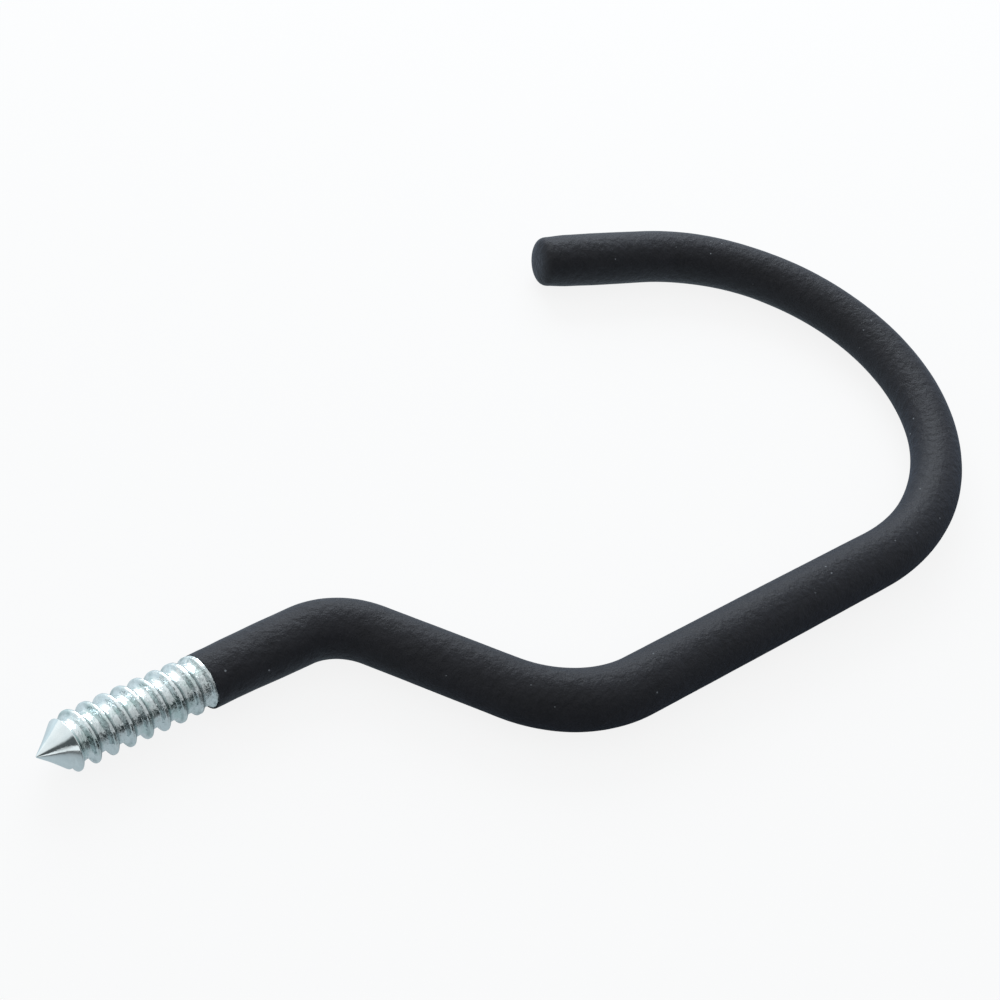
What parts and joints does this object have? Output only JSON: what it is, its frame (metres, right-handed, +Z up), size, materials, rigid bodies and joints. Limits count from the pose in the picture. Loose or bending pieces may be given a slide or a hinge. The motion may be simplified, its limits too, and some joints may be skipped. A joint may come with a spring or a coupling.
{
  "type": "utility hook",
  "caption": "Screw-in utility hook for a garage: a bent steel rod with a lag screw thread and a black vinyl coat, stepped so that its open loop hangs in line with the screw.",
  "frame": {"origin": "centre of the footprint's bounding box, at the surface the hook lies on", "axes": "+Z up, square to the flat form; the screw runs along X and its point faces -X; the loop lies toward +Y"},
  "size_m": [0.1712, 0.0856, 0.0086],
  "materials": {
    "zinc_steel": "satin",
    "vinyl": "matte"
  },
  "bodies": {
    "root": {"threaded_rod": "zinc_steel", "vinyl_coat": "vinyl"}
  },
  "joints": []
}
